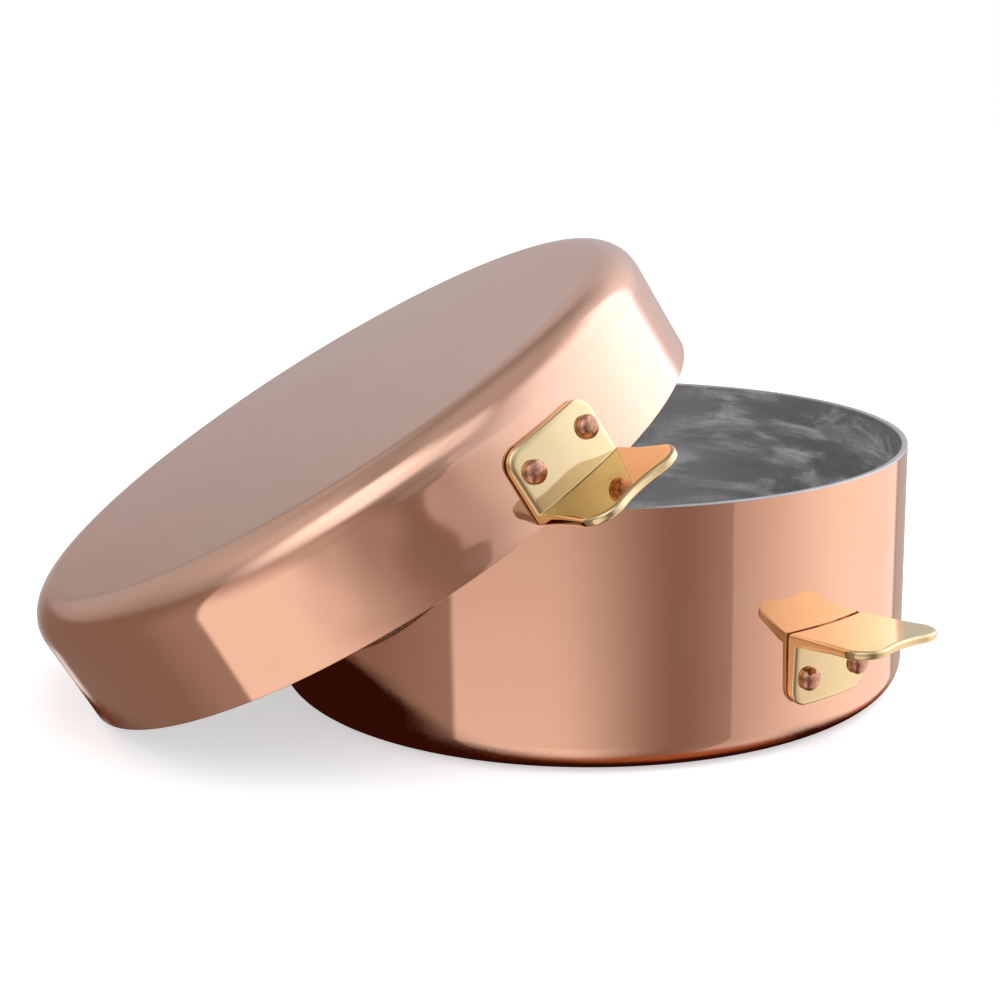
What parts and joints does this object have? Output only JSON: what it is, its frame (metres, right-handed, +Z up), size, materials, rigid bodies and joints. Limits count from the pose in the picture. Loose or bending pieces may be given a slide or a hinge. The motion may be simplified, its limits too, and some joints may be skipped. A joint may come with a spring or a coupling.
{
  "type": "pomme anna pan",
  "caption": "Round two-part copper baking pan: a deep tinned pan and a cover that leans on its rim, each with riveted brass tab handles.",
  "frame": {"origin": "centre of the pan's flat base, on the surface the pan stands on", "axes": "+Z up along the pan's axis; the lid leans towards -X, so +X points to the pan's open side; the front handles are on the -Y side"},
  "size_m": [0.2793, 0.2552, 0.1397],
  "materials": {
    "copper": "polished copper sheet",
    "tin": "hand-wiped tin lining, satin with streaks",
    "brass": "polished cast brass",
    "rivet_copper": "forged copper, darker and less polished"
  },
  "bodies": {
    "pan": {"pan_shell": "copper", "pan_lining": "tin", "pan_handle_front": "brass", "pan_rivet_front_left": "rivet_copper", "pan_rivet_front_right": "rivet_copper", "pan_handle_rear": "brass", "pan_rivet_rear_left": "rivet_copper", "pan_rivet_rear_right": "rivet_copper"},
    "lid": {"lid_shell": "copper", "lid_lining": "tin", "lid_handle_front": "brass", "lid_rivet_front_left": "rivet_copper", "lid_rivet_front_right": "rivet_copper", "lid_handle_rear": "brass", "lid_rivet_rear_left": "rivet_copper", "lid_rivet_rear_right": "rivet_copper"}
  },
  "joints": [
    {"name": "lid_lift", "type": "slide", "parent": "pan", "child": "lid", "axis": [0, 0, 1], "range_m": [0, 0.12]}
  ]
}
